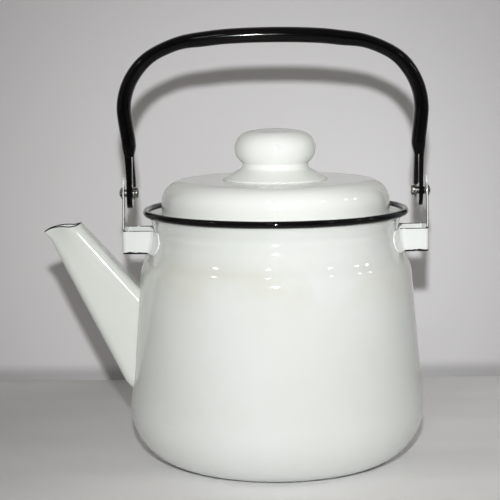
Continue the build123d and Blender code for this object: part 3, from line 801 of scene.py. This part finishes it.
for name, node, side in (("bracket_strip_far_side", "bracket_far_side", 1),
                         ("bracket_strip_spout_side", "bracket_spout_side", -1)):
    placed = strip_points * np.array([side, side, 1])
    if side == -1:
        placed[:, 0] -= ear_stand_off * rise(-placed[:, 0], 0.085, 0.0995)
    mesh = bpy.data.meshes.new(name)
    mesh.from_pydata(placed.tolist(), [], strip_faces.tolist())
    mesh.shade_smooth()
    mesh.materials.append(bracket_enamel)
    mesh.materials.append(bare_arris)
    bracket = bpy.data.objects.new(name, mesh)
    bpy.context.scene.collection.objects.link(bracket)
    mark_points(bracket, "thick_coat_painted_light", thick_coat_painted_light)
    thick = bracket.modifiers.new("sheet", "SOLIDIFY")
    thick.thickness, thick.offset, thick.use_even_offset = strip, 0.0, True
    soft = bracket.modifiers.new("soft_edges", "BEVEL")
    soft.width, soft.segments, soft.limit_method, soft.angle_limit = arris, 3, "ANGLE", radians(50)
    soft.use_clamp_overlap, soft.harden_normals, soft.material = False, True, 1
    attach(bracket, "pot")
    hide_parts(node)


# Rivets and washers
# A domed steel rivet is each end's axle. Its tail is hammered over a small washer on the inner side of the
# bail's end, and stays bright and lumpy. Its shank is painted near black and made dull inside the bail and up
# to the ear, as painted shade where the bail's end and the ear hide it.
rivet_shank = 0.0025
rivet_head, head_rise = 0.00465, 0.0026
rivet_tail, tail_end, tail_round = 0.0033, 0.0926, 0.0011
tail_outer, washer_outer, washer_radius = 0.0952, 0.0960, 0.0043
edge_ease = 0.0002
rivet_slack = 0.0008                  # the far side's tail and washer stand this much further in
dent = 0.00035
shank_middle, shank_half = 0.0984, 0.0022
steel_clean, steel_dirty, hidden_painted_shade = (0.48, 0.48, 0.46, 1), (0.08, 0.075, 0.07, 1), (0.02, 0.02, 0.02, 1)

rivet_steel, tree, principled = new_finish(
    "rivet_bright_steel", Base_Color=(0.66, 0.66, 0.64, 1), Metallic=1.0)
place = object_place(tree)
hammering = noise(tree, place, 700.0, 2.0)
dirt = ramp(tree, hammering, 0.38, 0.56, 1.0, 0.0, "LINEAR")
rubbed = ramp(tree, hammering, 0.3, 0.7, 0.30, 0.60, "LINEAR")
off_middle = arithmetic(tree, "ABSOLUTE", axis_of(tree, place, "X"))
# Where the bail's end hides the shank, it is painted near black as painted shade, and made dull.
hidden = arithmetic(tree, "COMPARE", off_middle, shank_middle, shank_half)
feed(tree, principled, {
    "Base Color": mixed(tree, hidden, mixed(tree, dirt, steel_clean, steel_dirty), hidden_painted_shade),
    "Roughness": arithmetic(tree, "MAXIMUM", rubbed, hidden),
    "Normal": bumped(tree, hammering, 0.00018)})


def on_pivot(profile, side, steps=48):
    """Rings of a profile of (distance along X, radius) rows turned about the pivots' axis, on either side."""
    angle = np.linspace(0, 2 * pi, steps, endpoint=False)
    x, radius = profile[:, :1], profile[:, 1:]
    return grid(side * x, radius * np.cos(angle), pivot_height + radius * np.sin(angle))


dome_round = (rivet_head**2 + head_rise**2) / (2 * head_rise)
dome_centre = (ear_outer + head_rise - dome_round, 0)
rivet_line = outline(
    [(tail_end, 0.0003), (tail_end, rivet_tail - tail_round)],
    arc((tail_end + tail_round, rivet_tail - tail_round), tail_round, 180, 90, 6),
    [(tail_outer - 0.0003, rivet_tail), (tail_outer, rivet_tail - edge_ease), (tail_outer, rivet_shank)],
    [(ear_outer, rivet_shank), (ear_outer, rivet_head - edge_ease), (ear_outer + edge_ease, rivet_head)],
    arc(dome_centre, dome_round, degrees(np.arcsin(rivet_head / dome_round)), 2, 12)[1:])
washer_line = np.array([
    (tail_outer, rivet_shank), (tail_outer, washer_radius - edge_ease),
    (tail_outer + edge_ease, washer_radius), (washer_outer - edge_ease, washer_radius),
    (washer_outer, washer_radius - edge_ease), (washer_outer, rivet_shank)])
for side, label in ((1, "far_side"), (-1, "spout_side")):
    rings = on_pivot(rivet_line, side)
    beaten = dent * (1 - climb(side * rings[..., 0], tail_end, tail_outer - 0.0007))
    rings[..., 1] += beaten * np.sin(1900 * rings[..., 1] + side) * np.sin(1700 * rings[..., 2] + 2 * side)
    rings[..., 2] += beaten * np.cos(1500 * rings[..., 1])
    inwards, outwards = (rivet_slack, 0.0) if side == 1 else (0.0, ear_stand_off)
    on_tail = side * rings[..., 0] < (tail_outer + ear_outer) / 2
    rings[..., 0] += side * np.where(on_tail, -inwards, outwards)
    rivet = skin("rivet_axle_" + label, rings, rivet_steel)
    washer_rings = on_pivot(washer_line, side) - np.array([side * inwards, 0, 0])
    washer = skin("washer_ring_" + label, washer_rings, rivet_steel, joined=True)
    for piece, node in ((rivet, "rivet_"), (washer, "rivet_washer_")):
        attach(piece, "pot")
        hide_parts(node + label)


# Bail
# One length of oval steel tube bent to a tall loop. Each end is pressed flat into a thick outer leaf, which
# runs down round the rivet, and a thin inner leaf that stops above it. All of it is enamelled black.
leg_x = 0.0970
flat_deep, flat_wide = 0.0068, 0.0187
flat_high = pivot_height + 0.0255
pinch_length, pinch_overlap = 0.0070, 0.0015
tube_wide, leg_deep, crown_deep = 0.0140, 0.0097, 0.0104
bend_thinning, bend_drop, crown_lift = 0.0010, 0.0008, 0.0004
leg_splay, crown_draw = 0.0009, 0.0012
leg_lean, crown_lean = 0.0009, 0.0005
slot_outer, slot_inner, leaf_end = 0.0963, 0.09555, pivot_height + 0.0049
slot_foot, slot_side, slot_half_wide = 0.165, 0.085, 0.015
bail_clear, bail_cloudy = (0.0010, 0.0010, 0.0015, 1), (0.0028, 0.0028, 0.0034, 1)


def bend(radius, turn):
    """The length of a bend and its turn in radians, from its radius and its turn in degrees."""
    return radius * abs(radians(turn)), radians(turn)


crown_length = 0.0503                 # before it is corrected
tube_stretches = [(0.0010, 0.0), bend(0.030, -7.6), (0.0143, 0.0), bend(0.0418, 65.4), bend(0.0677, 27.0)]


def bail_line(step=0.0004):
    """The loop's middle line from the pinch to the middle of the top, as points and headings. Its curvature
    is constant along each bend, softened over 6 mm where one meets the next, and summed twice. The crown's
    length is corrected until the line ends over the kettle's middle, and what is left is spread along it."""
    lengths, turns = np.array(tube_stretches).T
    ends = np.cumsum(lengths)
    crown_turn, crown = pi / 2 - turns.sum(), crown_length
    kernel = np.hanning(17)
    for _ in range(12):
        s = np.arange(0, ends[-1] + crown, step)
        on_stretch = np.searchsorted(ends, s, side="right")
        curvature = np.append(turns / lengths, crown_turn / crown)[on_stretch]
        softened = np.convolve(np.pad(curvature, 8, mode="edge"), kernel / kernel.sum(), mode="valid")
        heading = pi / 2 + np.cumsum(softened) * step
        x = leg_x + np.cumsum(np.cos(heading)) * step
        crown += x[-1]
    z = flat_high + pinch_length + np.cumsum(np.sin(heading)) * step
    spread = np.linspace(0, 1, len(s))**2
    x = x - x[-1] * spread
    heading = heading + (pi - heading[-1]) * spread
    keep = np.unique(np.r_[np.arange(0, len(s), 5), len(s) - 1])
    return x[keep], z[keep], heading[keep]


section_angle = np.linspace(0, 2 * pi, 56, endpoint=False)
oval_deep, oval_wide = np.cos(section_angle), np.sin(section_angle)


def flattened(deep, wide):
    """A pressed section as its (deep, wide) parts: a round-edged bar whose flats are a little crowned."""
    stretch = np.clip(2.6 * oval_wide, -1, 1)
    return deep / 2 * oval_deep, (wide - deep) / 2 * stretch + deep / 2 * oval_wide


# Half of the loop, from the end's round tip up the flat end and the pinch, and along the tube to the crown.
# Bending has thinned the tube at its upper bends.
tip_angle = np.linspace(-84, 0, 15)[:, None]
tip_wide = flat_wide * np.cos(np.radians(tip_angle))
tip_deep = flat_deep * (1 - 0.35 * np.maximum(0, (-tip_angle - 70) / 14)**2)
narrower = np.minimum(tip_deep, tip_wide)
deep_part, wide_part = flattened(narrower, tip_wide)
tip = grid(leg_x + deep_part * tip_deep / narrower, wide_part,
           pivot_height + 1.09 * flat_wide / 2 * np.sin(np.radians(tip_angle)))

deep_part, wide_part = flattened(flat_deep, flat_wide)
flat_top = flat_high - pinch_overlap
flat_end = grid(leg_x + deep_part, wide_part, np.linspace(pivot_height, flat_top, 12)[1:, None])

t = np.linspace(0, 1, 13)[:-1, None]
ease = rise(t, 0, 1)
pinched = grid(leg_x + deep_part * (1 - ease) + leg_deep / 2 * oval_deep * ease,
               wide_part * (1 - ease) + tube_wide / 2 * oval_wide * ease,
               flat_top + (pinch_length + pinch_overlap) * t)

x, z, heading = (part[:, None] for part in bail_line())
deep = leg_deep + (crown_deep - leg_deep) * rise(np.linspace(0, 1, len(x))[:, None], 0, 1)
thinned = bend_thinning * (rise(x, 0.045, 0.066) - rise(x, 0.076, 0.094)) * rise(z, 0.235, 0.255)
outwards = (deep - thinned) / 2 * oval_deep + thinned / 2
tube = grid(x + outwards * np.sin(heading), tube_wide / 2 * oval_wide, z - outwards * np.cos(heading))
half_loop = np.concatenate([tip, flat_end, pinched, tube])
whole_loop = np.concatenate([half_loop, half_loop[-2::-1] * np.array([-1, 1, 1])])

# Use has splayed the legs nearly a millimetre above the rivets, pushed the loop a little towards the spout,
# pressed down its upper bends and raised the rest of its top a little. The end on the far side stands off its
# ear by the slack in its rivet.
middle = whole_loop.mean(axis=1, keepdims=True)
reach, middle_height, height = np.abs(middle[..., 0]), middle[..., 2], whole_loop[..., 2]
splay = leg_splay * rise(height, 0.188, 0.222) - crown_draw * rise(height, 0.222, 0.275)
lean = (leg_lean * rise(height, 0.188, 0.232)
        + crown_lean * (rise(height, 0.220, 0.245) - rise(height, 0.255, 0.290)))
stand_off = rivet_slack * (1 - rise(height, 0.196, 0.240)) * (whole_loop[..., 0] > 0)
at_bends = rise(reach, 0.030, 0.055) * (1 - rise(reach, 0.070, 0.092)) * rise(middle_height, 0.240, 0.262)
whole_loop[..., 0] += np.sign(whole_loop[..., 0]) * splay - lean - stand_off
whole_loop[..., 2] += crown_lift * rise(middle_height, 0.240, 0.270) - bend_drop * at_bends

bail_enamel = enamel("bail_black_enamel", 0.18, Clear=bail_clear, Cloudy=bail_cloudy,
                     Pinhole=dull_pinhole, Waves=1.0, Dullness=0.10)[0]
bail = skin("bail_bent_tube", whole_loop, bail_enamel)

# The slot between the leaves, and the inner leaf's lower part, are cut from both ends.
slot_line = outline(
    [(slot_outer, slot_foot), (slot_outer, flat_high - 0.0008)],
    arc(((slot_outer + slot_inner) / 2, flat_high - 0.0008), (slot_outer - slot_inner) / 2, 0, 180, 7),
    [(slot_inner, leaf_end), (slot_side, leaf_end), (slot_side, slot_foot)])
for side in (1, -1):
    rings = grid(side * slot_line[:, 0], np.array([[-slot_half_wide], [slot_half_wide]]), slot_line[:, 1])
    cut_away(bail, skin("leaf_slot", rings, bail_enamel))
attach(bail, "bail")
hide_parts("bail")


# Lid and its collar
# A deep pressed lid with a flat top and a round corner, whose brim rests inside the mouth's flare. A ring
# under the brim keeps it in the neck. Its white is a little paler than the body's.
lid_sheet = 0.0012
lid_radius = 0.0771
brim_low, lid_high = 0.1660, 0.1923
lid_corner, lid_foot = 0.015, 0.002
brim_radius = 0.08267
vent = 0.005                          # radius of the hole in the lid's top, under the knob
collar_outer, collar_inner, collar_low, collar_ease = 0.0806, 0.0796, 0.1520, 0.0003
lid_clear, lid_cloudy = (0.88, 0.905, 0.88, 1), (0.85, 0.88, 0.845, 1)


def lid_line(inset):
    """The lid's line from its vent to its brim's edge, moved inwards by inset."""
    top, side, brim = lid_high - inset, lid_radius - inset, brim_low + lid_sheet - inset
    corner, foot = lid_corner - inset, lid_foot + inset
    bend = arc((side - corner, top - corner), corner, 90, 0, 20)
    sweep = arc((side + foot, brim + foot), foot, 180, 270, 8)
    return outline(run((vent, top), bend[0], 8), bend, run(bend[-1], sweep[0], 5), sweep, (brim_radius, brim))


lid_enamel = enamel("lid_white_enamel", 0.5, Clear=lid_clear, Cloudy=lid_cloudy, Waves=0.5, Dullness=0.12)[0]
lid = pressing("lid_pressing", lid_line, lid_sheet, 176, lid_enamel)
collar_line = np.array([
    (collar_inner, brim_low), (collar_inner, collar_low + collar_ease),
    (collar_inner + collar_ease, collar_low), (collar_outer - collar_ease, collar_low),
    (collar_outer, collar_low + collar_ease), (collar_outer, brim_low)])
collar = skin("lid_collar_ring", turned(collar_line, 128), lid_enamel, joined=True)


# Knob
# Two hollow steel pressings, enamelled with the lid: a flared skirt that stands on the lid's top, and a cap
# pushed over the skirt's neck. They meet at a neat line.
knob_sheet = 0.0012
skirt_radius, skirt_edge, skirt_neck = 0.0355, 0.0010, 0.0222
joint_height, spigot_high = 0.2030, 0.0030
cap_round, cap_high, cap_radius, cap_middle, cap_crown = 0.0125, 0.0119, 0.0274, 0.2132, 0.0014
tuck_way = np.array([-0.77, -0.64])   # which way the cap's side is heading where it turns into the neck


def bezier(a, b, c, d, steps):
    """A cubic curve from a to d, leaving towards b and arriving from c."""
    t = np.linspace(0, 1, steps)[:, None]
    a, b, c, d = map(np.array, (a, b, c, d))
    return a * (1 - t)**3 + 3 * b * t * (1 - t)**2 + 3 * c * t * t * (1 - t) + d * t**3


def cap_line(inset):
    """The cap's line from the middle of its top down to the joint, moved inwards by inset: a low dome, an
    ellipse's quarter, and a turn into the upright neck."""
    wide, high, middle = cap_round - inset, cap_high - inset, cap_radius - cap_round
    crown_r = np.linspace(pole_radius, middle + 0.0012, 12)
    crown = np.stack([crown_r, cap_middle + high + cap_crown * (1 - (crown_r / crown_r[-1])**2)], axis=1)
    turn = np.radians(np.linspace(86, -50, 34))
    side = np.stack([middle + wide * np.cos(turn), cap_middle + high * np.sin(turn)], axis=1)
    neck = skirt_neck - inset
    tuck = bezier(
        side[-1], side[-1] + 0.0007 * tuck_way, (neck, joint_height + 0.0007), (neck, joint_height), 6)
    return outline(crown, side, tuck)


def skirt_line():
    """The skirt's closed line: its sloping outside, the ledge and spigot under the cap, and its underside."""
    spigot = skirt_neck - knob_sheet - 0.0001
    bend, flare = (0.0247, joint_height - 0.0041), (skirt_radius - 0.0004, lid_high + skirt_edge)
    slope = outline(
        bezier(flare, (0.0318, joint_height - 0.0077), (0.0280, joint_height - 0.0058), bend, 12),
        bezier(bend, (0.0229, joint_height - 0.0032), (skirt_neck, joint_height - 0.0024),
               (skirt_neck, joint_height - 0.0001), 10))
    under = bezier((spigot - knob_sheet, joint_height - knob_sheet), (0.0225, joint_height - 0.0062),
                   (0.0292, joint_height - 0.0070), (skirt_radius - 0.0019, lid_high), 14)
    return outline(
        [(skirt_radius - 0.0003, lid_high), (skirt_radius, lid_high + 0.0003)],
        [(skirt_radius, lid_high + 0.0006)], slope,
        [(skirt_neck - 0.0001, joint_height), (spigot, joint_height), (spigot, joint_height + spigot_high)],
        [(spigot - knob_sheet, joint_height + spigot_high)], under)


cap = pressing("knob_cap_pressing", cap_line, knob_sheet, 128, lid_enamel, joined=False)
skirt = skin("knob_skirt_pressing", turned(skirt_line(), 128), lid_enamel, joined=True)
for piece, node in ((lid, "lid_shell"), (collar, "lid_collar"), (cap, "knob_cap"), (skirt, "knob_skirt")):
    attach(piece, "lid")
    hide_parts(node)


# Bounds of the kettle's pieces
low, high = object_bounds()
